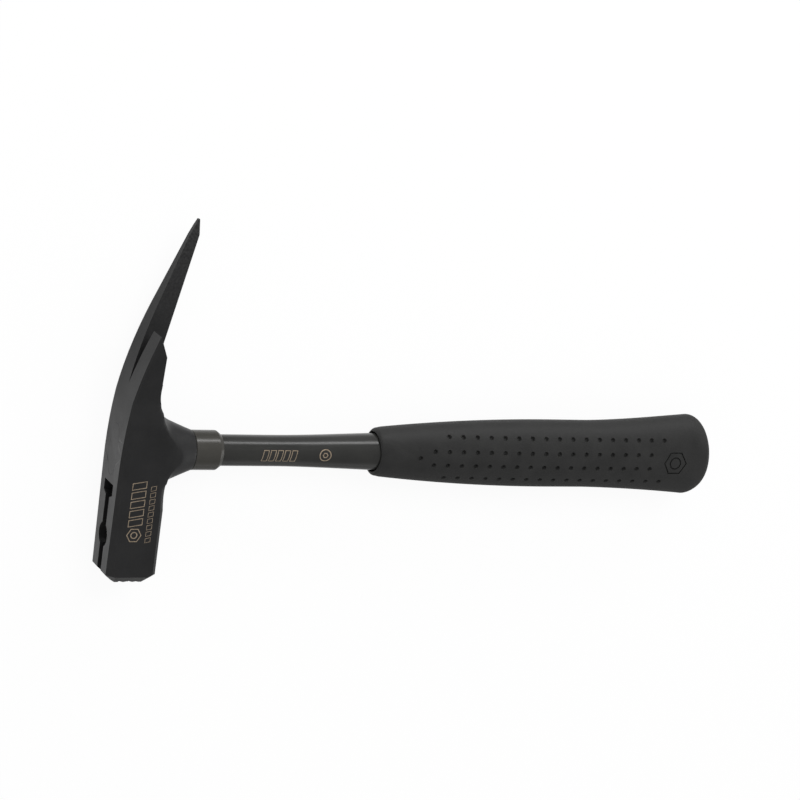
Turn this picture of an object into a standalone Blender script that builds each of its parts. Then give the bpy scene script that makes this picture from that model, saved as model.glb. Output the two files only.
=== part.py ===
"""Roofing hammer with a tubular steel handle, lying on its side.

X runs along the handle from the head to the butt, Y points the way the pick points and Z is up.
Every piece is modelled in the hammer's own frame, where the handle's axis is the X axis and the
front face of the head is at x = 0, and hangs on one empty that lays the hammer on the ground.
"""

import math

import bmesh
import bpy
from mathutils import Matrix, Vector

MM = 0.001

# Overall sizes
TOTAL_LENGTH = 330.5 * MM
HEAD_WIDTH = 27.2 * MM
FACE_REACH = 65.3 * MM
PICK_REACH = 115.9 * MM
FIT = 0.3 * MM

# Side view of the head
BLOCK_DEPTH = 24.9 * MM
WAIST_DEPTH = 15.5 * MM
FRONT_STRAIGHT_TO = -8.0 * MM
FRONT_CURVE_TO = 73.0 * MM
PICK_LEAN = math.radians(18.9)
PICK_BACK_LEAN = math.radians(11.9)
PICK_BACK_FROM = 37.5 * MM
TIP_BEVEL = 7.7 * MM
TIP_LAND = 0.7 * MM
WAIST_FILLET = 20.5 * MM
BLOCK_FILLET = 5.0 * MM

# Front view of the head
TAPER_FROM = 28.0 * MM
TAPER_POWER = 1.2
TIP_HALF_WIDTH = 1.0 * MM
SLOT_BOTTOM = 34.0 * MM
SLOT_LEAN = math.radians(16.3)
PRONG_LEAN = math.radians(11.5)
PRONG_FROM = 27.0 * MM
PRONG_REACH = 62.3 * MM
PRONG_SHOULDER = 51.8 * MM
PRONG_BACK = 14.8 * MM

# Edges and striking face
FRONT_EDGE_LOW = 3.6 * MM
FRONT_EDGE_HIGH = 1.0 * MM
FRONT_EDGE_TIP = 0.4 * MM
FRONT_EDGE_TO = 20.0 * MM
BACK_EDGE = 1.9 * MM
BACK_EDGE_TO = 14.0 * MM
FACE_BEVEL_RUN = 4.8 * MM
FACE_BEVEL_RISE = 4.0 * MM
WAFFLE_PITCH = 3.4 * MM
WAFFLE_DEPTH = 0.9 * MM
WAFFLE_CUTS = 5

# Eye, nail starter and magnet
BOSS_END = 39.5 * MM
BOSS_LIP = 0.1 * MM
BOSS_LEAN = math.radians(22)
BLEND_FROM = 3.5 * MM
BLEND_FILLET = 14.0 * MM
EYE_HEIGHT = 26.0 * MM
EYE_WIDTH = 12.0 * MM
EYE_DEPTH = 6.0 * MM
POCKET_TOP = 16.5 * MM
POCKET_HEIGHT = 7.0 * MM
POCKET_WIDTH = 12.4 * MM
POCKET_DEPTH = 5.0 * MM
POCKET_NECK = 1.5 * MM
GROOVE_WIDTH = 5.4 * MM
GROOVE_DEPTH = 3.2 * MM
MAGNET_AT = 43.5 * MM
MAGNET_RADIUS = 5.7 * MM
MAGNET_THICK = 4.7 * MM

# Handle
TUBE_RADIUS = 7.8 * MM
TUBE_WALL = 1.5 * MM
TUBE_SWELL = 2.1 * MM
TUBE_CONE_FROM = 82.0 * MM
TUBE_CONE_LENGTH = 82.0 * MM
SLEEVE_LENGTH = 14.8 * MM
SLEEVE_WALL = 1.8 * MM
SLEEVE_BEVEL = 2.1 * MM
SPIGOT_LENGTH = 9.0 * MM
END_RUBBER = 8.5 * MM
END_FLANGE = 2.5 * MM

# Grip
GRIP_START = 138.0 * MM
GRIP_MOUTH_WALL = (2.7 * MM, 1.1 * MM)
GRIP_BELLY_HALF = (17.9 * MM, 13.2 * MM)
GRIP_BUTT_HALF = (21.7 * MM, HEAD_WIDTH / 2)
LIP_ROUND = 2.2 * MM
BUTT_ROUND = 9.8 * MM
BUTT_LEAN = math.radians(3)
BUTT_RISE = 0.45 * MM
BELLY_AT = 102.0 * MM
FLARE_LENGTH = 72.0 * MM
FLARE_POWER = 1.5

ARC_STEPS = 12
ROUND_STEPS = 40


def clear_scene():
    for thing in list(bpy.data.objects):
        bpy.data.objects.remove(thing, do_unlink=True)


def material(name, color, rough, metal):
    mat = bpy.data.materials.new(name)
    mat.use_nodes = True
    shader = mat.node_tree.nodes["Principled BSDF"]
    shader.inputs["Base Color"].default_value = (*color, 1.0)
    shader.inputs["Roughness"].default_value = rough
    shader.inputs["Metallic"].default_value = metal
    mat.diffuse_color = (*color, 1.0)
    return mat


def mesh_of(thing):
    """The evaluated mesh of an object, which is removed."""
    bpy.context.view_layer.update()
    graph = bpy.context.evaluated_depsgraph_get()
    mesh = bpy.data.meshes.new_from_object(thing.evaluated_get(graph))
    bpy.data.objects.remove(thing, do_unlink=True)
    return mesh


def prism(name, outline, low, high, turn=None):
    """A closed outline in X and Y as a solid between two heights, then turned by a matrix."""
    curve = bpy.data.curves.new(name, "CURVE")
    curve.dimensions = "2D"
    curve.fill_mode = "BOTH"
    curve.extrude = (high - low) / 2
    spline = curve.splines.new("POLY")
    spline.points.add(len(outline) - 1)
    for point, (x, y) in zip(spline.points, outline):
        point.co = (x, y, 0, 1)
    spline.use_cyclic_u = True
    flat = bpy.data.objects.new(name, curve)
    bpy.context.collection.objects.link(flat)
    mesh = mesh_of(flat)
    mesh.transform(Matrix.Translation((0, 0, (high + low) / 2)))
    if turn:
        mesh.transform(turn)
    return add(name, mesh)


def turned(name, profile, angle=2 * math.pi):
    """A profile of (x, radius) points turned round the handle's axis, all the way or half way."""
    mesh = bpy.data.meshes.new(name)
    edges = [(i, (i + 1) % len(profile)) for i in range(len(profile))]
    if profile[0][1] == 0:
        edges = edges[:-1]
    mesh.from_pydata([(x, 0, r) for x, r in profile], edges, [])
    spun = add(name, mesh)
    screw = spun.modifiers.new("turn", "SCREW")
    screw.axis = "X"
    screw.angle = angle
    screw.steps = ROUND_STEPS
    screw.render_steps = ROUND_STEPS
    screw.use_merge_vertices = True
    screw.merge_threshold = 0.00001
    return add(name, mesh_of(spun))


def add(name, mesh):
    """A new object for a mesh, whose seams and ends are closed and whose faces are turned outwards."""
    shape = bmesh.new()
    shape.from_mesh(mesh)
    bmesh.ops.remove_doubles(shape, verts=shape.verts, dist=0.00001)
    bmesh.ops.holes_fill(shape, edges=[e for e in shape.edges if e.is_boundary])
    bmesh.ops.recalc_face_normals(shape, faces=shape.faces)
    shape.to_mesh(mesh)
    shape.free()
    thing = bpy.data.objects.new(name, mesh)
    thing.parent = LAID
    bpy.context.collection.objects.link(thing)
    return thing


def boolean(body, tool, operation):
    cut = body.modifiers.new(tool.name, "BOOLEAN")
    cut.operation = operation
    cut.solver = "EXACT"
    cut.object = tool
    tool.hide_render = True
    tool.display_type = "WIRE"
    for home in list(tool.users_collection):
        home.objects.unlink(tool)
    CUTTERS.objects.link(tool)


def ease(share):
    """A smooth step from 0 to 1."""
    share = min(max(share, 0.0), 1.0)
    return share * share * (3 - 2 * share)


def arc(center, radius, start, end, steps=ARC_STEPS):
    cx, cy = center
    angles = [start + (end - start) * i / steps for i in range(steps + 1)]
    return [(cx + radius * math.cos(a), cy + radius * math.sin(a)) for a in angles]


# Head

FRONT_RADIUS = (FRONT_CURVE_TO - FRONT_STRAIGHT_TO) / math.sin(PICK_LEAN)
FRONT_CURVE_X = FRONT_RADIUS * (1 - math.cos(PICK_LEAN))
HALF_WIDTH = HEAD_WIDTH / 2
BLOCK_MIDDLE = BLOCK_DEPTH / 2
SLEEVE_RADIUS = TUBE_RADIUS + FIT + SLEEVE_WALL
BOSS_RADIUS = SLEEVE_RADIUS + BOSS_LIP


def front_x(y):
    """Where the front face lies at a height along the head: upright, then an arc, then leaning."""
    if y < FRONT_STRAIGHT_TO:
        return 0.0
    if y < FRONT_CURVE_TO:
        return FRONT_RADIUS - math.sqrt(FRONT_RADIUS**2 - (y - FRONT_STRAIGHT_TO) ** 2)
    return FRONT_CURVE_X + (y - FRONT_CURVE_TO) * math.tan(PICK_LEAN)


def pick_back_x(y):
    return WAIST_DEPTH + (y - PICK_BACK_FROM) * math.tan(PICK_BACK_LEAN)


def boss_radius(x):
    return BOSS_RADIUS + (BOSS_END - x) * math.tan(BOSS_LEAN)


def boss_side(x, radius, margin):
    """The fillet from an upright back at x into the sloping boss, and the boss to its end."""
    cx = x + radius
    cy = boss_radius(cx) + margin + radius / math.cos(BOSS_LEAN)
    end = (BOSS_END, BOSS_RADIUS + 2 * margin)
    return arc((cx, cy), radius, math.pi, math.pi * 1.5 - BOSS_LEAN) + [end]


def head_side_outline():
    front = arc((FRONT_RADIUS, FRONT_STRAIGHT_TO), FRONT_RADIUS, math.pi, math.pi - PICK_LEAN)
    bevel_y = PICK_REACH - TIP_BEVEL
    tip_x = pick_back_x(bevel_y) - TIP_LAND
    upper = boss_side(WAIST_DEPTH, WAIST_FILLET, FIT)
    back = BLOCK_DEPTH + FIT
    lower = [(x, -y) for x, y in boss_side(back, BLOCK_FILLET, FIT)]
    return (
        [(0.0, -FACE_REACH)]
        + front
        + [(front_x(bevel_y), bevel_y), (tip_x - TIP_LAND, PICK_REACH), (tip_x, PICK_REACH)]
        + [(pick_back_x(bevel_y), bevel_y), (WAIST_DEPTH, PICK_BACK_FROM)]
        + upper
        + lower[::-1]
        + [(back, -FACE_REACH)]
    )


def pick_half_width(y):
    """How far the pick's far side lies from the middle of the head."""
    share = max((y - TAPER_FROM) / (PICK_REACH - TAPER_FROM), 0.0)
    return HALF_WIDTH + (TIP_HALF_WIDTH - HALF_WIDTH) * share**TAPER_POWER


def prong_half_width(y):
    """How far the prong's outer side lies from the middle of the head."""
    return HALF_WIDTH + max(y - PRONG_FROM, 0.0) * math.tan(PRONG_LEAN)


def between(low, high, count=ARC_STEPS):
    return [low + (high - low) * i / count for i in range(count + 1)]


def head_front_outline():
    """Width across against the height along the head: pick on the far side, prong on the near."""
    far = [(-pick_half_width(y), y) for y in between(TAPER_FROM, PICK_REACH)]
    slot_top = TIP_HALF_WIDTH + (PRONG_REACH - SLOT_BOTTOM) * math.tan(SLOT_LEAN)
    foot = FACE_REACH + FIT
    return (
        [(-HALF_WIDTH, -foot)]
        + far
        + [(TIP_HALF_WIDTH, PICK_REACH + FIT), (TIP_HALF_WIDTH, SLOT_BOTTOM)]
        + [(slot_top, PRONG_REACH), (prong_half_width(PRONG_REACH), PRONG_REACH)]
        + [(HALF_WIDTH, PRONG_FROM), (HALF_WIDTH, -foot)]
    )


def across(name, outline, low, high):
    """A prism seen from the front: its outline is width in Z and height in Y, swept along X."""
    turn = Matrix(((0, 0, 1, 0), (0, 1, 0, 0), (1, 0, 0, 0), (0, 0, 0, 1)))
    return prism(name, outline, low, high, turn)


def boss_ring(back, fillet, reach, angle):
    """Half a ring round the boss, with a fillet in front and a wall out to its reach."""
    side = boss_side(back, fillet, 0.0)
    out = max(reach, side[0][1]) + FIT
    clear = BOSS_END + HALF_WIDTH
    profile = [(back, out)] + side + [(clear, BOSS_RADIUS), (clear, out)]
    return turned("boss_ring", profile, angle)


def boss_rings():
    """The half that blends into the waist, and the half whose wall is the block's back."""
    return [
        boss_ring(WAIST_DEPTH + BLEND_FROM, BLEND_FILLET, 0.0, -math.pi),
        boss_ring(BLOCK_DEPTH, BLOCK_FILLET, math.hypot(FACE_REACH, HALF_WIDTH), math.pi),
    ]


def prong_end():
    """Takes the prong's slanted end and its back down to the waist, clear of the pick."""
    slope = (front_x(PRONG_REACH) - PRONG_BACK) / (PRONG_REACH - PRONG_SHOULDER)
    high = PRONG_REACH + BLOCK_DEPTH
    outline = [
        (WAIST_DEPTH - FIT / 2, PICK_BACK_FROM),
        (2 * BLOCK_DEPTH, PICK_BACK_FROM),
        (2 * BLOCK_DEPTH, high),
        (PRONG_BACK + slope * (high - PRONG_SHOULDER), high),
        (PRONG_BACK, PRONG_SHOULDER),
    ]
    return prism("prong_end", outline, TIP_HALF_WIDTH + FIT, HEAD_WIDTH)


def slab(name, point, normal, along, middle):
    """A block whose face lies at a point, square to a normal, and which runs along Y."""
    out = Vector(normal).normalized()
    lengthwise = (Vector((0, 1, 0)) - out * out.y).normalized()
    side = lengthwise.cross(out)
    size = HEAD_WIDTH
    frame = Matrix((side, lengthwise, out)).transposed().to_4x4()
    center = Vector(point) + out * size / 2
    center.y += middle - point[1]
    bpy.ops.mesh.primitive_cube_add(size=1)
    cube = bpy.context.active_object
    cube.name = name
    cube.data.transform(Matrix.Diagonal((size, along, size, 1)))
    cube.data.transform(frame)
    cube.data.transform(Matrix.Translation(center))
    cube.parent = LAID
    return cube


def edge_size(y):
    """How much is taken off the front edges: less and less up to the pick, and least at its tip."""
    if y < FRONT_EDGE_TO:
        share = (FRONT_EDGE_TO - y) / (FRONT_EDGE_TO + FACE_REACH)
        return FRONT_EDGE_HIGH + (FRONT_EDGE_LOW - FRONT_EDGE_HIGH) * share
    share = (y - FRONT_EDGE_TO) / (PICK_REACH - FRONT_EDGE_TO)
    return FRONT_EDGE_HIGH + (FRONT_EDGE_TIP - FRONT_EDGE_HIGH) * share


def front_edge(name, points):
    """A four-sided bar along an edge, given as its points, which leaves a flat slope."""
    curve = bpy.data.curves.new(name, "CURVE")
    curve.dimensions = "3D"
    curve.twist_mode = "Z_UP"
    curve.bevel_depth = 1.0
    curve.bevel_resolution = 0
    curve.use_fill_caps = True
    spline = curve.splines.new("POLY")
    spline.points.add(len(points) - 1)
    for point, place in zip(spline.points, points):
        point.co = (*place, 1)
        point.radius = edge_size(place[1])
    bar = bpy.data.objects.new(name, curve)
    bpy.context.collection.objects.link(bar)
    return add(name, mesh_of(bar))


def front_edges():
    """The sloped edges on both sides of the front face, from the striking face to the tips."""
    foot = -FACE_REACH - HALF_WIDTH
    far = [foot, FRONT_STRAIGHT_TO] + between(0.0, TAPER_FROM, ARC_STEPS // 2)
    far += between(TAPER_FROM, PICK_REACH + FRONT_EDGE_LOW)[1:]
    near = [foot, FRONT_STRAIGHT_TO] + between(0.0, PRONG_FROM, ARC_STEPS // 2)
    near += between(PRONG_FROM, PRONG_REACH + FRONT_EDGE_LOW, ARC_STEPS // 2)[1:]
    return [
        front_edge("far_edge", [(front_x(y), y, -pick_half_width(y)) for y in far]),
        front_edge("near_edge", [(front_x(y), y, prong_half_width(y)) for y in near]),
    ]


def back_edges():
    """The even slopes on the block's two back edges, below the boss."""
    length = FACE_REACH - BACK_EDGE_TO + HALF_WIDTH
    middle = -BACK_EDGE_TO - length / 2
    tools = []
    for side in (-1, 1):
        corner = (BLOCK_DEPTH, 0, side * (HALF_WIDTH - BACK_EDGE))
        tools.append(slab("back_edge", corner, (1, 0, side), length, middle))
    return tools


def face_edges():
    """Slopes round the striking face, one for each of the block's eight sides."""
    tools = []
    low = FACE_BEVEL_RISE - FACE_REACH
    corner = (BLOCK_MIDDLE + HALF_WIDTH - FRONT_EDGE_LOW) / math.sqrt(2)
    reach = [BLOCK_MIDDLE, corner, HALF_WIDTH, corner]
    for i in range(8):
        angle = i * math.pi / 4
        out = reach[i % 4]
        x = math.cos(angle)
        z = math.sin(angle)
        edge = (BLOCK_MIDDLE + out * x, low, out * z)
        normal = (x * FACE_BEVEL_RISE, -FACE_BEVEL_RUN, z * FACE_BEVEL_RISE)
        tools.append(slab("face_edge", edge, normal, 2 * HEAD_WIDTH, low))
    return tools


def waffle_cuts():
    """Two sets of V cuts that cross on the striking face."""
    tools = []
    wide = 2 * WAFFLE_DEPTH
    cut = [(-wide, -WAFFLE_DEPTH), (wide, -WAFFLE_DEPTH), (0, WAFFLE_DEPTH)]
    for turn in (-1, 1):
        middle = (WAFFLE_CUTS - 1) / 2
        row = []
        for i in range(WAFFLE_CUTS):
            at = Matrix.Translation(((i - middle) * WAFFLE_PITCH, 0, 0))
            row.append(prism("waffle", cut, -HEAD_WIDTH, HEAD_WIDTH, at))
        with bpy.context.temp_override(active_object=row[0], selected_editable_objects=row):
            bpy.ops.object.join()
        row[0].data.transform(Matrix.Rotation(turn * math.pi / 4, 4, "Y"))
        row[0].data.transform(Matrix.Translation((BLOCK_MIDDLE, -FACE_REACH, 0)))
        tools.append(row[0])
    return tools


def oval(height, width):
    angles = [2 * math.pi * i / ROUND_STEPS for i in range(ROUND_STEPS)]
    return [(width / 2 * math.cos(a), height / 2 * math.sin(a)) for a in angles]


def nail_starter():
    """The head pocket, the shank groove down to the striking face and the magnet's bore."""
    half = POCKET_WIDTH / 2
    rim = GROOVE_WIDTH / 2 + FIT
    low = POCKET_TOP + POCKET_HEIGHT
    pocket = [(-half, -POCKET_TOP), (half, -POCKET_TOP), (half, POCKET_NECK - low)]
    pocket += [(rim, -low), (-rim, -low), (-half, POCKET_NECK - low)]
    half = GROOVE_WIDTH / 2
    foot = -FACE_REACH - HALF_WIDTH
    groove = [(-half, FIT - low), (half, FIT - low), (half, foot), (-half, foot)]
    bore_end = GROOVE_DEPTH + MAGNET_THICK + 2 * FIT
    bore = [(-BLOCK_DEPTH, 0), (-BLOCK_DEPTH, MAGNET_RADIUS + FIT)]
    bore += [(bore_end, MAGNET_RADIUS + FIT), (bore_end, 0)]
    round_bore = turned("magnet_bore", bore)
    round_bore.data.transform(Matrix.Translation((0, -MAGNET_AT, 0)))
    return [
        across("nail_pocket", pocket, -BLOCK_DEPTH, POCKET_DEPTH),
        across("nail_groove", groove, -BLOCK_DEPTH, GROOVE_DEPTH),
        round_bore,
    ]


def eye():
    seat = TUBE_RADIUS + FIT
    far = BOSS_END + BLOCK_DEPTH
    bore = [(EYE_DEPTH, 0), (EYE_DEPTH, seat), (far, seat), (far, 0)]
    return [
        across("eye_mouth", oval(EYE_HEIGHT, EYE_WIDTH), -BLOCK_DEPTH, EYE_DEPTH),
        turned("eye_bore", bore),
    ]


def head():
    body = prism("head", head_side_outline(), -HEAD_WIDTH, HEAD_WIDTH)
    front = across("front_view", head_front_outline(), -BLOCK_DEPTH, 2 * BOSS_END)
    boolean(body, front, "INTERSECT")
    shape = boss_rings() + [prong_end()] + front_edges() + back_edges() + face_edges()
    for tool in shape + waffle_cuts() + eye() + nail_starter():
        boolean(body, tool, "DIFFERENCE")
    return body


def nail_magnet():
    low = GROOVE_DEPTH + FIT
    high = low + MAGNET_THICK
    profile = [(low, 0), (low, MAGNET_RADIUS), (high, MAGNET_RADIUS), (high, 0)]
    disc = turned("nail_magnet", profile)
    disc.data.transform(Matrix.Translation((0, -MAGNET_AT, 0)))
    return disc


def eye_plug():
    """An oval plug ground flush with the front face, with a spigot in the tube."""
    back = EYE_DEPTH - FIT
    spigot = TUBE_RADIUS - TUBE_WALL - FIT
    root = min(EYE_WIDTH / 2 - 2 * FIT, spigot)
    reach = EYE_DEPTH + SPIGOT_LENGTH
    body = across("eye_plug", oval(EYE_HEIGHT - 2 * FIT, EYE_WIDTH - 2 * FIT), -back, back)
    profile = [(back / 2, 0), (back / 2, root), (EYE_DEPTH, root)]
    profile += [(EYE_DEPTH, spigot), (reach, spigot), (reach, 0)]
    boolean(body, prism("front_face", head_side_outline(), -HEAD_WIDTH, HEAD_WIDTH), "INTERSECT")
    boolean(body, turned("plug_spigot", profile), "UNION")
    return body


# Handle


def tube_radius(x):
    return TUBE_RADIUS + TUBE_SWELL * ease((x - TUBE_CONE_FROM) / TUBE_CONE_LENGTH)


TUBE_START = EYE_DEPTH + FIT
TUBE_END = TOTAL_LENGTH - END_RUBBER - END_FLANGE - 2 * FIT
TUBE_GRIP_RADIUS = TUBE_RADIUS + TUBE_SWELL


def cone_stations():
    return between(TUBE_CONE_FROM, TUBE_CONE_FROM + TUBE_CONE_LENGTH)


def handle_tube():
    stations = [TUBE_START] + cone_stations() + [TUBE_END]
    outer = [(x, tube_radius(x)) for x in stations]
    inner = [(x, r - TUBE_WALL) for x, r in outer]
    return turned("handle_tube", outer + inner[::-1])


def neck_sleeve():
    low = BOSS_END + FIT
    high = low + SLEEVE_LENGTH
    bore = TUBE_RADIUS + FIT
    profile = [(low, bore), (low, SLEEVE_RADIUS), (high - SLEEVE_BEVEL, SLEEVE_RADIUS)]
    return turned("neck_sleeve", profile + [(high, bore + FIT), (high, bore)])


def tube_end_plug():
    spigot = TUBE_GRIP_RADIUS - TUBE_WALL - FIT
    seat = TUBE_END + FIT
    cap = seat + END_FLANGE
    profile = [(TUBE_END - SPIGOT_LENGTH, 0), (TUBE_END - SPIGOT_LENGTH, spigot), (seat, spigot)]
    profile += [(seat, TUBE_GRIP_RADIUS), (cap, TUBE_GRIP_RADIUS), (cap, 0)]
    return turned("tube_end_plug", profile)


# Grip


def grip_half(x, axis):
    """Half the grip's height (axis 0) or width (axis 1) at a place along it."""
    mouth = tube_radius(GRIP_START) + FIT + GRIP_MOUTH_WALL[axis]
    belly = GRIP_BELLY_HALF[axis]
    butt = GRIP_BUTT_HALF[axis]
    swell = min((x - GRIP_START) / BELLY_AT, 1.0)
    flare = max((x - TOTAL_LENGTH + FLARE_LENGTH) / (FLARE_LENGTH - BUTT_ROUND), 0.0)
    rise = (belly - mouth) * (1 - (1 - swell) ** 2)
    return mouth + rise + (butt - belly) * min(flare, 1.0) ** FLARE_POWER


def grip_profile():
    """Round the long axis as if the grip were round: its width is drawn in afterwards."""
    butt_from = TOTAL_LENGTH - BUTT_ROUND
    lip_from = GRIP_START + LIP_ROUND
    lip_top = grip_half(GRIP_START, 0) - LIP_ROUND
    lip = arc((lip_from, lip_top), LIP_ROUND, math.pi, math.pi / 2, ARC_STEPS // 3)
    middle = [(x, grip_half(x, 0)) for x in between(lip_from, butt_from, 2 * ARC_STEPS)[1:-1]]
    top = GRIP_BUTT_HALF[0] - BUTT_ROUND
    butt = arc((butt_from, top), BUTT_ROUND, math.pi / 2, 0, ARC_STEPS // 2)
    return [(GRIP_START, 0)] + lip + middle + butt + [(TOTAL_LENGTH, 0)]


def grip():
    """A turned body drawn in to its width, whose end leans and rises a little, over the tube."""
    body = turned("grip", grip_profile())
    for vert in body.data.vertices:
        x = min(vert.co.x, TOTAL_LENGTH - BUTT_ROUND)
        vert.co.z *= grip_half(x, 1) / grip_half(x, 0)
        flare = ease((x - TOTAL_LENGTH + FLARE_LENGTH) / (FLARE_LENGTH - BUTT_ROUND))
        vert.co.x -= flare * math.tan(BUTT_LEAN) * (vert.co.y + GRIP_BUTT_HALF[0] - BUTT_ROUND)
        vert.co.y += flare * BUTT_RISE
    floor = TUBE_END + END_FLANGE + 2 * FIT
    stations = [GRIP_START - LIP_ROUND] + [x for x in cone_stations() if x > GRIP_START] + [floor]
    bore = [(x, tube_radius(x) + FIT) for x in stations]
    tool = turned("grip_bore", [(bore[0][0], 0)] + bore + [(floor, 0)])
    boolean(body, tool, "DIFFERENCE")
    return body


GROUND = max(HALF_WIDTH, GRIP_BELLY_HALF[1], GRIP_BUTT_HALF[1])

clear_scene()
CUTTERS = bpy.data.collections.new("cutters")
bpy.context.scene.collection.children.link(CUTTERS)

LAID = bpy.data.objects.new("hammer", None)
bpy.context.collection.objects.link(LAID)
LAID.location = (-TOTAL_LENGTH / 2, (FACE_REACH - PICK_REACH) / 2, GROUND)

BLACK_STEEL = material("blackened_steel", (0.035, 0.035, 0.037), 0.5, 0.4)
GLOSSY_STEEL = material("lacquered_steel", (0.07, 0.066, 0.06), 0.25, 0.8)
NICKEL = material("nickel", (0.6, 0.58, 0.54), 0.2, 1.0)
RUBBER = material("rubber", (0.045, 0.045, 0.046), 0.6, 0.0)
PLASTIC = material("plastic", (0.02, 0.02, 0.02), 0.5, 0.0)

PIECES = (
    (head, BLACK_STEEL),
    (nail_magnet, NICKEL),
    (eye_plug, BLACK_STEEL),
    (neck_sleeve, GLOSSY_STEEL),
    (handle_tube, GLOSSY_STEEL),
    (tube_end_plug, PLASTIC),
    (grip, RUBBER),
)
for build, finish in PIECES:
    piece = build()
    piece.data.materials.clear()
    piece.data.materials.append(finish)
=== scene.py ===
"""The looks of a roofing hammer that lies on its side.

Everything is modelled in the hammer's own frame: x runs along the handle from the front face of
the head, y points the way the pick points, z points out of the upper cheek, and the handle's
axis is the x axis. Each finished mesh is then moved to where the frame holds the hammer.
"""

import math

import bmesh
import bpy
from mathutils import Matrix, Vector


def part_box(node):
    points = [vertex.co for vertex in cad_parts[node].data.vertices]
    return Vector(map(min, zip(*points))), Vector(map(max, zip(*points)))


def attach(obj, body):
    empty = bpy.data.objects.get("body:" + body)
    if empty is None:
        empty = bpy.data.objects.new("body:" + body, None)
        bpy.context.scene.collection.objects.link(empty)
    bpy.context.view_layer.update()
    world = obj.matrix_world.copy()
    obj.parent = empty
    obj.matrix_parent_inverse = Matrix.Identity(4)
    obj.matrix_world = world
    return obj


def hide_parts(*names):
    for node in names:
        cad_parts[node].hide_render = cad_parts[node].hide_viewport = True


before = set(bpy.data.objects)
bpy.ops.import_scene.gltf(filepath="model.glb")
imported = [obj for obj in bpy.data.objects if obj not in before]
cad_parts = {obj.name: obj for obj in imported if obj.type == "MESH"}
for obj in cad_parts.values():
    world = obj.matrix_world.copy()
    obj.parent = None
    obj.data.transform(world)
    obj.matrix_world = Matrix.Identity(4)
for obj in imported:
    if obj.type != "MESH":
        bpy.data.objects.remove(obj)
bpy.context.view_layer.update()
MM = 0.001


def handle_start():
    """Where the handle's axis meets the plane of the head's front face."""
    low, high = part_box("handle_tube")
    middle = (low + high) / 2
    return Vector((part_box("head")[0].x, middle.y, middle.z))


def box_in_hammer(node):
    """A CAD node's box in the hammer's own frame."""
    low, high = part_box(node)
    return low - ORIGIN, high - ORIGIN


ORIGIN = handle_start()
SLEEVE_BOX = box_in_hammer("neck_sleeve")
TUBE_BOX = box_in_hammer("handle_tube")
GRIP_BOX = box_in_hammer("grip")
CHEEK = ORIGIN.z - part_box("head")[0].z

# Distances and angles that count as none when a mesh is merged or cut
SAME_POINT = 0.001 * MM
SAME_CORNER = 0.002 * MM
ON_PLANE = 0.01 * MM
FLAT = math.radians(0.5)

# Edges and steps that the pieces share
FIT = 0.3 * MM
FORGED_EDGE = 0.3 * MM
SHARP = math.radians(24)
SMOOTH = math.radians(35)
ROUND_STEPS = 96

# Neck and plug of the head
NECK_FROM = 13.0 * MM
NECK_END = 38.6 * MM
NECK_HEIGHT = 27.0 * MM
NECK_BORE = 9.0 * MM
NECK_GRID = 1.2 * MM
NECK_LENGTH_CUTS = 20
NECK_WIDTH_CUTS = 22
NECK_FADE = 6.0 * MM
NECK_END_FADE = 2.0 * MM
NECK_PASSES = 16
PLUG_SPREAD = (1.018, 1.04)
PLUG_SEAM = (2.0 * MM, 14.0 * MM, 7.0 * MM)
WEAR_FROM = 55.0 * MM
WEAR_FULL = 110.0 * MM

# Handle
SLEEVE_BORE = 8.1 * MM
SLEEVE_BEVEL = 2.1 * MM
SLEEVE_EDGE = 0.35 * MM
TUBE_RADIUS = 7.8 * MM
TUBE_WALL = 1.5 * MM
CONE_FROM = 82.0 * MM
CONE_LENGTH = 82.0 * MM
CONE_STATIONS = 40

# Grip
MOUTH_HALF = (12.4 * MM, 10.8 * MM)
BELLY_HALF = (17.9 * MM, 13.2 * MM)
BELLY_AT = 102.0 * MM
FLARE_LENGTH = 72.0 * MM
FLARE_POWER = 1.5
LIP_ROUND = 2.2 * MM
BUTT_ROUND = 9.8 * MM
BUTT_RIM = 2.8 * MM
BUTT_LEAN = math.radians(3)
BUTT_RISE = 0.45 * MM
GRIP_STEPS = 128
GRIP_STATIONS = 84
LIP_STEPS = 8
BUTT_STEPS = 24
MOUTH_FLARE = 0.6 * MM
MOUTH_FLARE_LENGTH = 5.0 * MM
BORE_STATIONS = 16
BORE_PAST_TUBE = 3.1 * MM

# Dimples
DIMPLE_PITCH = 7.87 * MM
DIMPLE_COUNT = 17
DIMPLE_ROWS = ((0.5, 167.9 * MM), (1.5, 175.8 * MM))
DIMPLE_ROW_PITCH = 7.3 * MM
DIMPLE_ALONE = 160.0 * MM
DIMPLE_LEAN = -0.0068
DIMPLE_SPREAD = 0.4
DIMPLE_LEVEL_AT = 190.0 * MM
DIMPLE_MOUTH = 1.3 * MM
DIMPLE_FLOOR = 0.7 * MM
DIMPLE_DEPTH = 1.3 * MM
DIMPLE_SIDES = 20

# Emblem in the grip
EMBLEM_AT = 309.0 * MM
EMBLEM_ACROSS = -1.3 * MM
EMBLEM_RADIUS = 6.9 * MM
EMBLEM_LINE = 0.75 * MM
EMBLEM_DEPTH = 0.7 * MM

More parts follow.
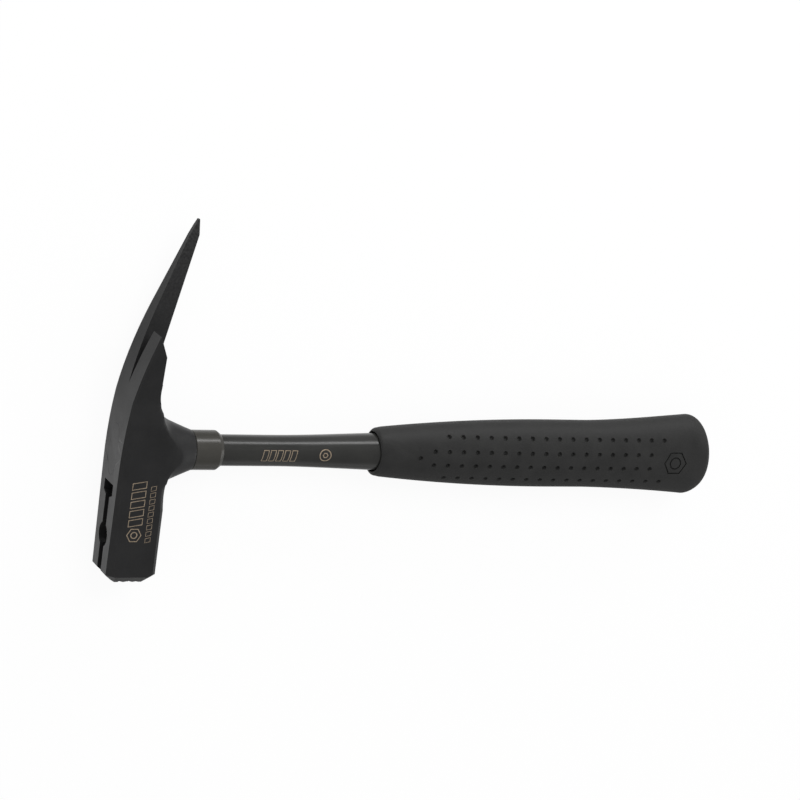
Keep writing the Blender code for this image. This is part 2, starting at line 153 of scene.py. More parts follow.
# Laser marks
MARK_LINE = 0.5 * MM
MARK_LIFT = 0.02 * MM
BADGE_PLACE = (10.85 * MM, -39.5 * MM)
BADGE_RADIUS = 3.9 * MM
BADGE_RING = 1.8 * MM
COLUMN_PLACE = (10.85 * MM, -14.2 * MM)
COLUMN_PITCH = -4.7 * MM
COLUMN_BOX = (3.6 * MM, 7.4 * MM, 1.2 * MM)
FINE_PLACE = (18.2 * MM, -15.6 * MM)
FINE_PITCH = -3.3 * MM
FINE_BOX = (2.4 * MM, 2.8 * MM, 0.6 * MM)
RING_PLACE = (108.9 * MM, 0.3 * MM)
RING_RADIUS = 3.2 * MM
RING_BADGE = 1.5 * MM
ROW_START = 76.9 * MM
ROW_ACROSS = -0.4 * MM
ROW_PITCH = 3.8 * MM
ROW_COUNT = 5
ROW_BOX = (3.0 * MM, 6.0 * MM, 1.0 * MM)

# Camera
CAMERA_PLACE = (-0.61965, 0.3667, 1.2300)
CAMERA_RIGHT = (0.90295, 0.14042, 0.40614)
CAMERA_UP = (-0.01616, 0.95552, -0.29446)
CAMERA_SENSOR = 36.0
CAMERA_LENS = 125.55
CAMERA_REACH = 20.0

# Floor, and the painted shadow near the head in its mirror image
FLOOR_SIZE = 4.0
FLOOR_GAP = 0.2 * MM
FLOOR_TONE = 0.95
FLOOR_GLOW = 0.93
FLOOR_FAR = 0.36
MIRROR_GLOW = 0.6
SHADOW_SPOT_PLACE = (-0.14, 0.05, 0.0)
SHADOW_SPOT_INNER = 0.03
SHADOW_SPOT_OUTER = 0.085
SHADOW_SPOT_LEVEL = 0.5

# Light from all round
WALL_LIGHT = 0.5
CEILING_LIGHT = 0.2
FILL_LIGHT = 0.6

# Softboxes: place, width and height, watts, and whether glossy surfaces mirror them
SOFTBOXES = {
    "side_softbox": ((0.3, 1.5, 0.45), (1.8, 0.35), 9.0, True),
    "key_softbox": ((0.2, 1.1, 1.5), (1.2, 0.9), 16.0, False),
    "butt_softbox": ((1.5, -0.4, 0.3), (0.9, 0.5), 2.5, True),
}


# Shapes


def ease(share):
    """A smooth step from 0 to 1."""
    share = min(max(share, 0.0), 1.0)
    return share * share * (3 - 2 * share)


def between(low, high, count):
    """Evenly spaced numbers from low to high, with count steps between them."""
    return [low + (high - low) * i / count for i in range(count + 1)]


def rounded(profile, radius, steps=4):
    """An open run of (x, radius) points whose inner corners are rounded."""
    points = [Vector(p) for p in profile]
    run = [points[0]]
    for before, corner, after in zip(points, points[1:], points[2:]):
        back = before - corner
        on = after - corner
        reach = min(radius, back.length / 2, on.length / 2)
        start = corner + back.normalized() * reach
        end = corner + on.normalized() * reach
        for share in between(0.0, 1.0, steps):
            run.append(start.lerp(corner, share).lerp(corner.lerp(end, share), share))
    return run + [points[-1]]


def spun(profile, steps=ROUND_STEPS):
    """A bmesh of a profile of (x, radius) points turned round the handle's axis."""
    shape = bmesh.new()
    verts = [shape.verts.new((x, 0, r)) for x, r in profile]
    edges = [shape.edges.new(pair) for pair in zip(verts, verts[1:])]
    if profile[0][1] > 0:
        edges.append(shape.edges.new((verts[-1], verts[0])))
    bmesh.ops.spin(
        shape,
        geom=verts + edges,
        axis=(1, 0, 0),
        cent=(0, 0, 0),
        angle=2 * math.pi,
        steps=steps,
        use_merge=True,
    )
    bmesh.ops.remove_doubles(shape, verts=shape.verts, dist=SAME_POINT)
    bmesh.ops.recalc_face_normals(shape, faces=shape.faces)
    return shape


def copied(node):
    """A merged bmesh copy of a CAD node in the hammer's frame."""
    shape = bmesh.new()
    shape.from_mesh(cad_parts[node].data)
    bmesh.ops.translate(shape, vec=-ORIGIN, verts=shape.verts)
    bmesh.ops.remove_doubles(shape, verts=shape.verts, dist=SAME_CORNER)
    bmesh.ops.dissolve_limit(shape, angle_limit=FLAT, verts=shape.verts, edges=shape.edges)
    return shape


def round_edges(shape, width, wanted=lambda middle: True):
    """Rounds the hard edges of a bmesh whose middles are wanted."""
    hard = []
    for edge in shape.edges:
        middle = (edge.verts[0].co + edge.verts[1].co) / 2
        if edge.is_manifold and edge.calc_face_angle() > SHARP and wanted(middle):
            hard.append(edge)
    bmesh.ops.bevel(
        shape,
        geom=hard,
        offset=width,
        offset_type="OFFSET",
        segments=2,
        profile=0.5,
        affect="EDGES",
        clamp_overlap=True,
        material=-1,
    )


def edges_of(faces):
    """The edges of some faces, each once and always in the same order."""
    return list(dict.fromkeys(edge for face in faces for edge in face.edges))


def link(thing):
    """Puts a new object in the scene."""
    bpy.context.scene.collection.objects.link(thing)
    return thing


def object_of(name, shape):
    """An object for a bmesh, which is moved from the hammer's frame to its place."""
    mesh = bpy.data.meshes.new(name)
    shape.to_mesh(mesh)
    shape.free()
    mesh.transform(Matrix.Translation(ORIGIN))
    return link(bpy.data.objects.new(name, mesh))


def finished(thing, material, slot, *nodes):
    """Shades a piece, gives it its finish and lets it ride on the hammer in place of its nodes."""
    thing.data.shade_smooth()
    thing.data.set_sharp_from_angle(angle=SMOOTH)
    thing.data.materials.clear()
    thing.data.materials.append(material)
    even = thing.modifiers.new("even_shading", "WEIGHTED_NORMAL")
    even.keep_sharp = True
    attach(thing, "root")
    if nodes:
        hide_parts(*nodes)


def cut_out(body, tool):
    """Cuts one object out of another for good, and removes it."""
    cut = body.modifiers.new("cut", "BOOLEAN")
    cut.operation = "DIFFERENCE"
    cut.solver = "EXACT"
    cut.object = tool
    bpy.context.view_layer.update()
    graph = bpy.context.evaluated_depsgraph_get()
    mesh = bpy.data.meshes.new_from_object(body.evaluated_get(graph))
    body.modifiers.clear()
    body.data = mesh
    bpy.data.objects.remove(tool, do_unlink=True)


# Materials


def shader_of(material):
    return material.node_tree.nodes["Principled BSDF"]


def new_material(name, **constants):
    """A material whose shader has some of its sockets set."""
    material = bpy.data.materials.new(name)
    material.use_nodes = True
    for socket, value in constants.items():
        shader_of(material).inputs[socket.replace("_", " ")].default_value = value
    return material


def set_or_link(tree, socket, value):
    """Gives a socket a number, or links it to the socket that gives its value."""
    if isinstance(value, float):
        socket.default_value = value
    else:
        tree.links.new(value, socket)


def noise(tree, vector, scale, detail, roughness):
    """The value of a noise texture."""
    node = tree.nodes.new("ShaderNodeTexNoise")
    node.inputs["Detail"].default_value = detail
    node.inputs["Roughness"].default_value = roughness
    set_or_link(tree, node.inputs["Scale"], scale)
    tree.links.new(vector, node.inputs["Vector"])
    return node.outputs["Fac"]


def ramp(tree, value, low, high, to_low=0.0, to_high=1.0):
    """A value moved from one range to another, and held inside it."""
    node = tree.nodes.new("ShaderNodeMapRange")
    limits = (("From Min", low), ("From Max", high), ("To Min", to_low), ("To Max", to_high))
    for socket, number in limits:
        node.inputs[socket].default_value = number
    tree.links.new(value, node.inputs["Value"])
    return node.outputs["Result"]


def math_of(tree, operation, first, second):
    """The result of an operation on two values, each a number or a socket."""
    node = tree.nodes.new("ShaderNodeMath")
    node.operation = operation
    for socket, value in zip(node.inputs, (first, second)):
        set_or_link(tree, socket, value)
    return node.outputs["Value"]


def mirrored_of(tree):
    """A light path, and whether its ray comes from a mirror image or through something clear."""
    path = tree.nodes.new("ShaderNodeLightPath")
    return path, math_of(
        tree, "MAXIMUM", path.outputs["Is Glossy Ray"], path.outputs["Is Transmission Ray"]
    )


def new_group(name, inputs, outputs):
    """An empty node group with its named sockets, and its two end nodes."""
    group = bpy.data.node_groups.new(name, "ShaderNodeTree")
    for socket, kind in inputs:
        group.interface.new_socket(socket, in_out="INPUT", socket_type=kind)
    for socket, kind in outputs:
        group.interface.new_socket(socket, in_out="OUTPUT", socket_type=kind)
    return group, group.nodes.new("NodeGroupInput"), group.nodes.new("NodeGroupOutput")


def mottle_group():
    """Two tones that drift into each other, and the mask that mixes them."""
    group, given, out = new_group(
        "mottle",
        [
            ("Vector", "NodeSocketVector"),
            ("Scale", "NodeSocketFloat"),
            ("Light Tone", "NodeSocketColor"),
            ("Dark Tone", "NodeSocketColor"),
        ],
        [("Color", "NodeSocketColor"), ("Mask", "NodeSocketFloat")],
    )
    cloud = noise(group, given.outputs["Vector"], given.outputs["Scale"], 5.0, 0.6)
    mask = ramp(group, cloud, 0.35, 0.65)
    mix = group.nodes.new("ShaderNodeMix")
    mix.data_type = "RGBA"
    group.links.new(mask, mix.inputs["Factor"])
    group.links.new(given.outputs["Dark Tone"], mix.inputs["A"])
    group.links.new(given.outputs["Light Tone"], mix.inputs["B"])
    group.links.new(mix.outputs["Result"], out.inputs["Color"])
    group.links.new(mask, out.inputs["Mask"])
    return group


def grain_group():
    """The height of a fine skin: rounded cells with a softer swell under them."""
    group, given, out = new_group(
        "grain",
        [
            ("Vector", "NodeSocketVector"),
            ("Scale", "NodeSocketFloat"),
            ("Cells", "NodeSocketFloat"),
        ],
        [("Height", "NodeSocketFloat")],
    )
    cells = group.nodes.new("ShaderNodeTexVoronoi")
    cells.feature = "SMOOTH_F1"
    cells.inputs["Smoothness"].default_value = 0.6
    swell = group.nodes.new("ShaderNodeTexNoise")
    swell.inputs["Detail"].default_value = 3.0
    for node in (cells, swell):
        group.links.new(given.outputs["Vector"], node.inputs["Vector"])
        group.links.new(given.outputs["Scale"], node.inputs["Scale"])
    rise = math_of(group, "MULTIPLY", cells.outputs["Distance"], given.outputs["Cells"])
    height = math_of(group, "ADD", rise, swell.outputs["Fac"])
    group.links.new(height, out.inputs["Height"])
    return group


def streak_group():
    """Faint lines along the handle, as a drawn or turned surface has them."""
    group, given, out = new_group(
        "streaks",
        [("Vector", "NodeSocketVector"), ("Scale", "NodeSocketVector")],
        [("Height", "NodeSocketFloat"), ("Mask", "NodeSocketFloat")],
    )
    stretch = group.nodes.new("ShaderNodeVectorMath")
    stretch.operation = "MULTIPLY"
    group.links.new(given.outputs["Vector"], stretch.inputs[0])
    group.links.new(given.outputs["Scale"], stretch.inputs[1])
    fine = noise(group, stretch.outputs["Vector"], 1.0, 4.0, 0.7)
    group.links.new(fine, out.inputs["Height"])
    group.links.new(ramp(group, fine, 0.4, 0.6), out.inputs["Mask"])
    return group


MOTTLE = mottle_group()
GRAIN = grain_group()
STREAKS = streak_group()


def place_group(material, group, **values):
    """A node group in a material, read at the object's own coordinates from the hammer's origin."""
    tree = material.node_tree
    node = tree.nodes.new("ShaderNodeGroup")
    node.node_tree = group
    coordinates = tree.nodes.new("ShaderNodeTexCoord")
    center = tree.nodes.new("ShaderNodeMapping")
    center.inputs["Location"].default_value = -ORIGIN
    tree.links.new(coordinates.outputs["Object"], center.inputs["Vector"])
    tree.links.new(center.outputs["Vector"], node.inputs["Vector"])
    for socket, value in values.items():
        node.inputs[socket.replace("_", " ")].default_value = value
    return node


def color_from(material, tones, scale):
    """Mottled base color between a dark and a light tone. Returns the mask."""
    dark, light = tones
    node = place_group(
        material, MOTTLE, Scale=scale, Dark_Tone=(*dark, 1.0), Light_Tone=(*light, 1.0)
    )
    material.node_tree.links.new(
        node.outputs["Color"], shader_of(material).inputs["Base Color"]
    )
    return node.outputs["Mask"]


def bump_from(material, height, distance):
    """Fine relief from a height."""
    tree = material.node_tree
    bump = tree.nodes.new("ShaderNodeBump")
    bump.inputs["Distance"].default_value = distance
    bump.inputs["Strength"].default_value = 1.0
    tree.links.new(height, bump.inputs["Height"])
    tree.links.new(bump.outputs["Normal"], shader_of(material).inputs["Normal"])


def roughness_from(material, mask, low, high):
    """Roughness that moves from low to high with a mask."""
    tree = material.node_tree
    tree.links.new(
        ramp(tree, mask, 0.0, 1.0, low, high), shader_of(material).inputs["Roughness"]
    )


def worn_tip(steel):
    """Greyer specks in the coat, which thicken towards the tip of the pick."""
    tree = steel.node_tree
    specks = place_group(
        steel, MOTTLE, Scale=900.0, Dark_Tone=(0, 0, 0, 1.0), Light_Tone=(1, 1, 1, 1.0)
    )
    along = tree.nodes.new("ShaderNodeSeparateXYZ")
    tree.links.new(specks.inputs["Vector"].links[0].from_socket, along.inputs["Vector"])
    near_tip = ramp(tree, along.outputs["Y"], WEAR_FROM, WEAR_FULL, 0.06, 0.6)
    wear = math_of(tree, "MULTIPLY", specks.outputs["Mask"], near_tip)
    mix = tree.nodes.new("ShaderNodeMix")
    mix.data_type = "RGBA"
    mix.inputs["B"].default_value = (0.05, 0.05, 0.05, 1)
    coat = shader_of(steel).inputs["Base Color"]
    tree.links.new(coat.links[0].from_socket, mix.inputs["A"])
    tree.links.new(wear, mix.inputs["Factor"])
    tree.links.new(mix.outputs["Result"], coat)


def coated_steel():
    """A matt black coat on forged steel, with a slight orange peel."""
    steel = new_material("coated_steel", Metallic=0.0, Specular_IOR_Level=0.36)
    mask = color_from(steel, ((0.0145, 0.0145, 0.015), (0.0185, 0.0185, 0.019)), 60.0)
    roughness_from(steel, mask, 0.34, 0.42)
    worn_tip(steel)
    grain = place_group(steel, GRAIN, Scale=1300.0, Cells=0.5)
    bump_from(steel, grain.outputs["Height"], 0.02 * MM)
    return steel


def lacquered_steel(name, tones):
    """A dark, glossy lacquer over drawn or turned steel."""
    steel = new_material(name, Metallic=0.0, Specular_IOR_Level=0.5)
    color_from(steel, tones, 45.0)
    lines = place_group(steel, STREAKS, Scale=(12.0, 900.0, 900.0))
    roughness_from(steel, lines.outputs["Mask"], 0.18, 0.27)
    bump_from(steel, lines.outputs["Height"], 0.01 * MM)
    return steel


def nickel_in_painted_shade():
    """The bright plating of the magnet, its colour darkened as painted shade of the groove it sits
    deep in.
    """
    nickel = new_material("nickel_in_painted_shade", Metallic=1.0)
    # painted shade: both tones are far darker than nickel and stand in for the shade deep in the
    # groove
    mask = color_from(nickel, ((0.22, 0.215, 0.2), (0.4, 0.39, 0.37)), 400.0)
    roughness_from(nickel, mask, 0.22, 0.4)
    grain = place_group(nickel, GRAIN, Scale=2500.0, Cells=0.3)
    bump_from(nickel, grain.outputs["Height"], 0.01 * MM)
    return nickel


def moulded_rubber():
    """Satin black rubber with the fine grain of its mould."""
    rubber = new_material("moulded_rubber", Metallic=0.0, Specular_IOR_Level=0.36)
    mask = color_from(rubber, ((0.020, 0.020, 0.0198), (0.026, 0.026, 0.0256)), 90.0)
    roughness_from(rubber, mask, 0.52, 0.62)
    grain = place_group(rubber, GRAIN, Scale=1500.0, Cells=0.8)
    bump_from(rubber, grain.outputs["Height"], 0.05 * MM)
    return rubber


def laser_tan():
    """The bare, tempered tone that a laser leaves in a dark coat."""
    tan = new_material("laser_tan", Metallic=0.3)
    mask = color_from(tan, ((0.26, 0.2, 0.14), (0.4, 0.32, 0.235)), 700.0)
    roughness_from(tan, mask, 0.45, 0.6)
    return tan


def plain_plastic():
    """Black moulded plastic inside the handle."""
    plastic = new_material("plain_plastic", Metallic=0.0)
    mask = color_from(plastic, ((0.016, 0.016, 0.016), (0.022, 0.022, 0.022)), 150.0)
    roughness_from(plastic, mask, 0.45, 0.55)
    return plastic


# Head


def in_neck(place, height, end):
    """Whether a place is on the outer skin of the neck that the handle grows from."""
    off_axis = math.hypot(place.y, place.z)
    return NECK_FROM < place.x < end and abs(place.y) < height and off_axis > NECK_BORE


def cut_across(shape, faces, axis, place):
    """Cuts some faces where the plane across one axis at a place meets them."""
    normal = Vector((0, 0, 0))
    normal[axis] = 1
    verts = list(dict.fromkeys(v for f in faces for v in f.verts))
    bmesh.ops.bisect_plane(
        shape,
        geom=faces + edges_of(faces) + verts,
        dist=ON_PLANE,
        plane_co=normal * place,
        plane_no=normal,
    )


def cut_grid(shape, axis, places):
    """Cuts the neck's skin across one axis at some places."""
    for place in places:
        faces = [
            f
            for f in shape.faces
            if f.calc_center_median().x > NECK_FROM / 2
            and abs(f.calc_center_median().y) < NECK_HEIGHT + NECK_GRID
        ]
        cut_across(shape, faces, axis, place)


def soften_neck(shape):
    """Lets the boss, the cheeks and the back of the head run into each other."""
    limit = NECK_HEIGHT + NECK_GRID
    for axis, place in ((1, -limit), (1, limit), (0, NECK_FROM)):
        cut_across(shape, shape.faces[:], axis, place)
    height_cuts = int(2 * NECK_HEIGHT / NECK_GRID)
    cut_grid(shape, 0, between(NECK_FROM, NECK_END, NECK_LENGTH_CUTS))
    cut_grid(shape, 1, between(-NECK_HEIGHT, NECK_HEIGHT, height_cuts))
    cut_grid(shape, 2, between(-CHEEK, CHEEK, NECK_WIDTH_CUTS)[1:-1])
    for share in between(0.0, 1.0, NECK_PASSES):
        height = NECK_HEIGHT - share * NECK_FADE
        end = NECK_END - share * NECK_END_FADE
        skin = [v for v in shape.verts if in_neck(v.co, height, end)]
        bmesh.ops.smooth_vert(
            shape, verts=skin, factor=0.5, use_axis_x=True, use_axis_y=True, use_axis_z=True
        )


def has_forged_edge(place):
    """Whether an edge lies off the softened neck and off the seam round the ground plug."""
    in_skin = in_neck(place, NECK_HEIGHT + NECK_GRID, NECK_END)
    deep, high, wide = PLUG_SEAM
    at_plug = place.x < deep and abs(place.y) < high and abs(place.z) < wide
    return not in_skin and not at_plug


def build_head(coat, nickel):
    """The forging, the plug ground flush in its front, and the magnet in its groove."""
    shape = copied("head")
    soften_neck(shape)
    round_edges(shape, FORGED_EDGE, has_forged_edge)
    finished(object_of("forged_head", shape), coat, "blackened_steel", "head")
    plug = copied("eye_plug")
    bmesh.ops.scale(plug, vec=(1, PLUG_SPREAD[0], PLUG_SPREAD[1]), verts=plug.verts)
    finished(object_of("ground_plug", plug), coat, "blackened_steel", "eye_plug")
    magnet = copied("nail_magnet")
    round_edges(magnet, FORGED_EDGE)
    finished(object_of("starter_magnet", magnet), nickel, "nickel", "nail_magnet")


# Handle


def tube_radius(x):
    """The tube's outer radius, which grows along its cone."""
    swell = TUBE_BOX[1].z - TUBE_RADIUS
    return TUBE_RADIUS + swell * ease((x - CONE_FROM) / CONE_LENGTH)


def build_sleeve(lacquer):
    """The collar between the head and the bare tube, bevelled towards the grip."""
    low, high = SLEEVE_BOX[0].x, SLEEVE_BOX[1].x
    rim = SLEEVE_BOX[1].z
    outer = [(low, SLEEVE_BORE), (low, rim), (high - SLEEVE_BEVEL, rim)]
    outer += [(high, SLEEVE_BORE + FIT), (high, SLEEVE_BORE)]
    sleeve = object_of("collar", spun(rounded(outer, SLEEVE_EDGE)))
    finished(sleeve, lacquer, "lacquered_steel", "neck_sleeve")


def build_tube(lacquer):
    """The steel tube, open at both ends."""
    low, high = TUBE_BOX[0].x, TUBE_BOX[1].x
    stations = [low] + between(CONE_FROM, CONE_FROM + CONE_LENGTH, CONE_STATIONS) + [high]
    outer = [(x, tube_radius(x)) for x in stations]
    inner = [(x, r - TUBE_WALL) for x, r in outer]
    tube = object_of("steel_tube", spun(outer + inner[::-1]))
    finished(tube, lacquer, "lacquered_steel", "handle_tube")


# Grip


def grip_half(x, axis):
    """Half the grip's height (axis 0) or width (axis 1) at a place along it."""
    size = GRIP_BOX[1] - GRIP_BOX[0]
    butt = (size.y / 2, size.z / 2)[axis]
    mouth = MOUTH_HALF[axis]
    belly = BELLY_HALF[axis]
    swell = min((x - GRIP_BOX[0].x) / BELLY_AT, 1.0)
    flare = max((x - GRIP_BOX[1].x + FLARE_LENGTH) / (FLARE_LENGTH - BUTT_ROUND), 0.0)
    rise = (belly - mouth) * (1 - (1 - swell) ** 2)
    return mouth + rise + (butt - belly) * min(flare, 1.0) ** FLARE_POWER


def butt_shift(x, y):
    """How the grip's end leans and rises: the way a point at (x, y) moves."""
    butt = (GRIP_BOX[1].y - GRIP_BOX[0].y) / 2
    flare = ease((x - GRIP_BOX[1].x + FLARE_LENGTH) / (FLARE_LENGTH - BUTT_ROUND))
    return (-flare * math.tan(BUTT_LEAN) * (y + butt - BUTT_ROUND), flare * BUTT_RISE)


def arc(center, radius, start, end, steps):
    """The points of a round stretch between two angles."""
    cx, cy = center
    angles = between(start, end, steps)
    return [(cx + radius * math.cos(a), cy + radius * math.sin(a)) for a in angles]


def grip_body():
    """The grip's outer form, turned round the handle's axis and then drawn in to its width."""
    low, high = GRIP_BOX[0].x, GRIP_BOX[1].x
    butt_from = high - BUTT_ROUND
    lip_center = (low + LIP_ROUND, grip_half(low, 0) - LIP_ROUND)
    lip = arc(lip_center, LIP_ROUND, math.pi, math.pi / 2, LIP_STEPS)
    middle = [(x, grip_half(x, 0)) for x in between(low + LIP_ROUND, butt_from, GRIP_STATIONS)]
    top = grip_half(butt_from, 0) - BUTT_ROUND
    butt = arc((butt_from, top), BUTT_ROUND, math.pi / 2, 0, BUTT_STEPS)
    shape = spun([(low, 0)] + lip + middle[1:-1] + butt + [(high, 0)], GRIP_STEPS)
    for vert in shape.verts:
        x = min(max(vert.co.x, low), butt_from)
        past = max(vert.co.x - butt_from, 0.0)
        edge = max(vert.co.x - high + BUTT_RIM, 0.0)
        height = top + math.sqrt(BUTT_ROUND**2 - min(past, BUTT_ROUND) ** 2)
        width = grip_half(x, 1) - BUTT_RIM + math.sqrt(BUTT_RIM**2 - min(edge, BUTT_RIM) ** 2)
        if past:
            vert.co.z *= width / height
        else:
            vert.co.z *= grip_half(x, 1) / grip_half(x, 0)
        along, across = butt_shift(x, vert.co.y)
        vert.co.x += along
        vert.co.y += across
    return shape


def on_grip(x, angle):
    """The place and the outward direction on the grip, at an angle from its upper side."""
    high, wide = grip_half(x, 0), grip_half(x, 1)
    along, across = butt_shift(x, high * math.sin(angle))
    place = Vector((x + along, high * math.sin(angle) + across, wide * math.cos(angle)))
    out = Vector((0, math.sin(angle) / high, math.cos(angle) / wide)).normalized()
    return place, out


def dimple_cuts():
    """Short tapered pins, one for each dimple on both sides of the grip."""
    shape = bmesh.new()
    spots = [(DIMPLE_ALONE, 0.0)]
    for row, start in DIMPLE_ROWS:
        for i in range(DIMPLE_COUNT):
            x = start + i * DIMPLE_PITCH
            spots += [(x, row * DIMPLE_ROW_PITCH), (x, -row * DIMPLE_ROW_PITCH)]
    for x, across in spots:
        past = x - DIMPLE_LEVEL_AT
        level = DIMPLE_LEAN * past + across * (1 + DIMPLE_SPREAD * past)
        angle = math.asin(level / grip_half(x, 0))
        for side in (angle, math.pi - angle):
            place, out = on_grip(x, side)
            turn = out.to_track_quat("Z", "Y").to_matrix().to_4x4()
            bmesh.ops.create_cone(
                shape,
                cap_ends=True,
                segments=DIMPLE_SIDES,
                radius1=DIMPLE_FLOOR,
                radius2=2 * DIMPLE_MOUTH - DIMPLE_FLOOR,
                depth=2 * DIMPLE_DEPTH,
                matrix=Matrix.Translation(place) @ turn,
            )
    return shape


def emblem_cut():
    """A hexagon with a ring in it, as thin lines that follow the grip's upper side."""
    shape = bmesh.new()
    center = (EMBLEM_AT, EMBLEM_ACROSS)
    outline(shape, polygon(center, EMBLEM_RADIUS, 6), EMBLEM_LINE, 6)
    outline(shape, polygon(center, EMBLEM_RADIUS / 2, 24), EMBLEM_LINE)
    thicken(shape, -EMBLEM_DEPTH, EMBLEM_DEPTH)
    for vert in shape.verts:
        x, y, z = vert.co
        high, wide = grip_half(x, 0), grip_half(x, 1)
        along, across = butt_shift(x, y)
        surface = wide * math.sqrt(1 - (y / high) ** 2)
        vert.co = (x + along, y + across, surface + z)
    return shape


def bore_cut():
    """The room for the tube, flared at the grip's mouth and open past its lip."""
    mouth = GRIP_BOX[0].x
    start, end = mouth - LIP_ROUND, TUBE_BOX[1].x + BORE_PAST_TUBE
    bore = []
    for x in [start] + between(mouth, CONE_FROM + CONE_LENGTH, BORE_STATIONS) + [end]:
        inside = min(max((x - mouth) / MOUTH_FLARE_LENGTH, 0.0), 1.0)
        bore.append((x, tube_radius(x) + FIT + MOUTH_FLARE * (1 - inside) ** 2))
    return spun([(start, 0)] + bore + [(end, 0)])


def build_grip(rubber):
    """The rubber grip with its bore, its dimples and its emblem cut into it."""
    grip = object_of("rubber_grip", grip_body())
    cut_out(grip, object_of("bore", bore_cut()))
    cut_out(grip, object_of("dimples", dimple_cuts()))
    cut_out(grip, object_of("emblem", emblem_cut()))
    finished(grip, rubber, "rubber", "grip")


# Marks


def outline(shape, corners, line, cuts=0):
    """Adds a flat ring inside a run of (x, y) corners, its long sides cut so that they bend."""
    verts = [shape.verts.new((x, y, 0)) for x, y in corners]
    face = shape.faces.new(verts)
    face.normal_update()
    ring = bmesh.ops.inset_individual(shape, faces=[face], thickness=line)["faces"]
    bmesh.ops.delete(shape, geom=[face], context="FACES_ONLY")
    if cuts:
        edges = [e for e in edges_of(ring) if e.calc_length() > 1.5 * line]
        bmesh.ops.subdivide_edges(shape, edges=edges, cuts=cuts, use_grid_fill=True)


def polygon(center, radius, sides):
    """The corners of a regular polygon."""
    turns = between(0, 2 * math.pi, sides)[:-1]
    return [(center[0] + radius * math.cos(a), center[1] + radius * math.sin(a)) for a in turns]


def thicken(shape, low, high):
    """Raises the flat faces of a bmesh into closed bars between two heights."""
    bmesh.ops.translate(shape, vec=(0, 0, low), verts=shape.verts)
    lifted = bmesh.ops.extrude_face_region(shape, geom=list(shape.faces), use_keep_orig=True)
    verts = [v for v in lifted["geom"] if isinstance(v, bmesh.types.BMVert)]
    bmesh.ops.translate(shape, vec=(0, 0, high - low), verts=verts)
    bmesh.ops.recalc_face_normals(shape, faces=shape.faces)


def slanted_box(center, width, height, slant):
    """The corners of a box whose upper edge is shifted along x."""
    x, y = center
    w, h, s = width / 2, height / 2, slant / 2
    return [(x - w - s, y - h), (x + w - s, y - h), (x + w + s, y + h), (x - w + s, y + h)]


def box_column(shape, place, pitch, count, box, line):
    """A column of slanted boxes down the cheek. Box is their width, height and slant."""
    for i in range(count):
        corners = slanted_box((place[1] + pitch * i, 0), *box)
        outline(shape, [(place[0] + y, x) for x, y in corners], line)


def cheek_marks(tan):
    """A column of slanted boxes that ends in a badge, and a finer column beside it."""
    shape = bmesh.new()
    outline(shape, polygon(BADGE_PLACE, BADGE_RADIUS, 6), MARK_LINE)
    outline(shape, polygon(BADGE_PLACE, BADGE_RING, 20), MARK_LINE)
    box_column(shape, COLUMN_PLACE, COLUMN_PITCH, 5, COLUMN_BOX, MARK_LINE)
    box_column(shape, FINE_PLACE, FINE_PITCH, 9, FINE_BOX, 0.6 * MARK_LINE)
    thicken(shape, CHEEK - MARK_LIFT, CHEEK + MARK_LIFT)
    finished(object_of("cheek_marks", shape), tan, "blackened_steel")


def tube_marks(tan):
    """A row of slanted boxes, and a ring with a badge in it, along the tube's upper side."""
    shape = bmesh.new()
    for i in range(ROW_COUNT):
        corners = slanted_box((ROW_START + ROW_PITCH * i, ROW_ACROSS), *ROW_BOX)
        outline(shape, corners, MARK_LINE, 5)
    outline(shape, polygon(RING_PLACE, RING_RADIUS, 24), MARK_LINE)
    outline(shape, polygon(RING_PLACE, RING_BADGE, 6), MARK_LINE, 1)
    thicken(shape, -MARK_LIFT, MARK_LIFT)
    for vert in shape.verts:
        x, y, z = vert.co
        reach = tube_radius(x)
        angle = y / reach
        vert.co = (x, (reach + z) * math.sin(angle), (reach + z) * math.cos(angle))
    finished(object_of("tube_marks", shape), tan, "lacquered_steel")


# Studio


def build_camera():
    """A long lens above the head's side, turned a little, that looks down on the upper cheek."""
    camera = link(bpy.data.objects.new("camera", bpy.data.cameras.new("camera")))
    camera.data.sensor_width = CAMERA_SENSOR
    camera.data.lens = CAMERA_LENS
    camera.data.clip_end = CAMERA_REACH
    right, up = Vector(CAMERA_RIGHT), Vector(CAMERA_UP)
    turn = Matrix((right, up, right.cross(up))).transposed().to_4x4()
    camera.matrix_world = Matrix.Translation(CAMERA_PLACE) @ turn
    bpy.context.scene.camera = camera


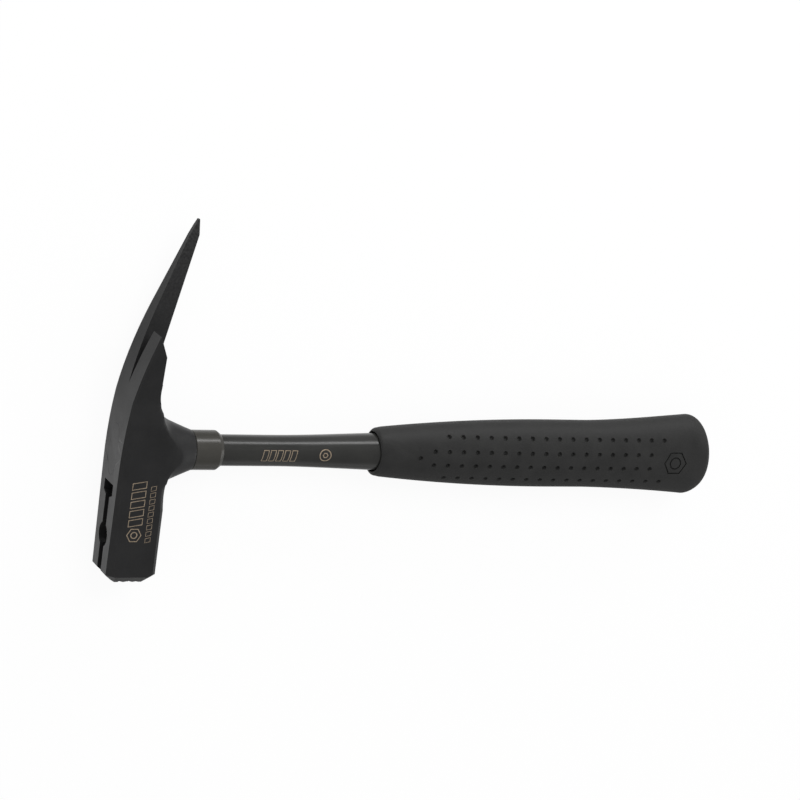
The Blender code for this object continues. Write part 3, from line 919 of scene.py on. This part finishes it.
def build_floor():
    """A white floor, clear from below, whose mirror image is darker at a slant and holds a painted
    shadow near the head.
    """
    shape = bmesh.new()
    bmesh.ops.create_grid(shape, x_segments=1, y_segments=1, size=FLOOR_SIZE)
    mesh = bpy.data.meshes.new("floor")
    shape.to_mesh(mesh)
    shape.free()
    floor = link(bpy.data.objects.new("floor", mesh))
    material = new_material("white_floor", Roughness=0.9)
    tree = material.node_tree
    path, mirrored = mirrored_of(tree)
    slant = tree.nodes.new("ShaderNodeLayerWeight")
    steep = ramp(tree, slant.outputs["Facing"], 0.15, 0.5, 1.0, FLOOR_FAR)
    coordinates = tree.nodes.new("ShaderNodeTexCoord")
    away = tree.nodes.new("ShaderNodeVectorMath")
    away.operation = "DISTANCE"
    away.inputs[1].default_value = SHADOW_SPOT_PLACE
    tree.links.new(coordinates.outputs["Object"], away.inputs[0])
    # painted shadow: the floor's mirror image is dimmed in a spot near the head, standing in for
    # the shade where the head lies on it
    painted_shadow = ramp(tree, away.outputs["Value"], SHADOW_SPOT_INNER, SHADOW_SPOT_OUTER, SHADOW_SPOT_LEVEL, 1.0)
    loss = math_of(tree, "SUBTRACT", 1.0, math_of(tree, "MULTIPLY", steep, painted_shadow))
    level = math_of(tree, "SUBTRACT", 1.0, math_of(tree, "MULTIPLY", mirrored, loss))
    tree.links.new(
        math_of(tree, "MULTIPLY", level, FLOOR_TONE), shader_of(material).inputs["Base Color"]
    )
    glow = tree.nodes.new("ShaderNodeEmission")
    tree.links.new(level, glow.inputs["Strength"])
    eye = math_of(tree, "MULTIPLY", path.outputs["Is Camera Ray"], FLOOR_GLOW)
    share = math_of(tree, "MAXIMUM", eye, math_of(tree, "MULTIPLY", mirrored, MIRROR_GLOW))
    mix = tree.nodes.new("ShaderNodeMixShader")
    tree.links.new(share, mix.inputs["Fac"])
    tree.links.new(shader_of(material).outputs["BSDF"], mix.inputs[1])
    tree.links.new(glow.outputs["Emission"], mix.inputs[2])
    below = tree.nodes.new("ShaderNodeMixShader")
    side = tree.nodes.new("ShaderNodeNewGeometry")
    clear = tree.nodes.new("ShaderNodeBsdfTransparent")
    tree.links.new(side.outputs["Backfacing"], below.inputs["Fac"])
    tree.links.new(mix.outputs["Shader"], below.inputs[1])
    tree.links.new(clear.outputs["BSDF"], below.inputs[2])
    tree.links.new(below.outputs["Shader"], tree.nodes["Material Output"].inputs["Surface"])
    floor.data.materials.append(material)
    floor.location.z = -FLOOR_GAP


def build_world():
    """White all round, with a greyer ceiling in reflections, and an even fill light."""
    world = bpy.data.worlds.new("studio")
    bpy.context.scene.world = world
    world.use_nodes = True
    tree = world.node_tree
    background = tree.nodes["Background"]
    coordinates = tree.nodes.new("ShaderNodeTexCoord")
    split = tree.nodes.new("ShaderNodeSeparateXYZ")
    tree.links.new(coordinates.outputs["Generated"], split.inputs["Vector"])
    ceiling = ramp(tree, split.outputs["Z"], 0.15, 0.5, WALL_LIGHT, CEILING_LIGHT)
    path, mirrored = mirrored_of(tree)
    level = tree.nodes.new("ShaderNodeMix")
    level.inputs["A"].default_value = FILL_LIGHT
    tree.links.new(mirrored, level.inputs["Factor"])
    tree.links.new(ceiling, level.inputs["B"])
    strength = math_of(tree, "MAXIMUM", level.outputs["Result"], path.outputs["Is Camera Ray"])
    tree.links.new(strength, background.inputs["Strength"])
    background.inputs["Color"].default_value = (1, 1, 1, 1)


def softbox(name, place, size, power, mirrored):
    """An area light that looks at the hammer. Glossy surfaces show it only if it is mirrored."""
    light = bpy.data.lights.new(name, "AREA")
    light.shape = "RECTANGLE"
    light.size, light.size_y = size
    light.energy = power
    lamp = link(bpy.data.objects.new(name, light))
    lamp.location = place
    lamp.rotation_euler = (-Vector(place)).to_track_quat("-Z", "Y").to_euler()
    lamp.visible_glossy = mirrored


coat = coated_steel()
tube_lacquer = lacquered_steel("tube_lacquer", ((0.024, 0.024, 0.023), (0.031, 0.031, 0.029)))
collar_lacquer = lacquered_steel(
    "collar_lacquer", ((0.039, 0.037, 0.032), (0.047, 0.045, 0.04))
)
nickel = nickel_in_painted_shade()
rubber = moulded_rubber()
tan = laser_tan()
plastic = plain_plastic()

build_head(coat, nickel)
build_sleeve(collar_lacquer)
build_tube(tube_lacquer)
build_grip(rubber)
cheek_marks(tan)
tube_marks(tan)
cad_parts["tube_end_plug"].material_slots[0].material = plastic

build_camera()
build_floor()
build_world()
for name, values in SOFTBOXES.items():
    softbox(name, *values)
bpy.context.scene.view_settings.view_transform = "Standard"
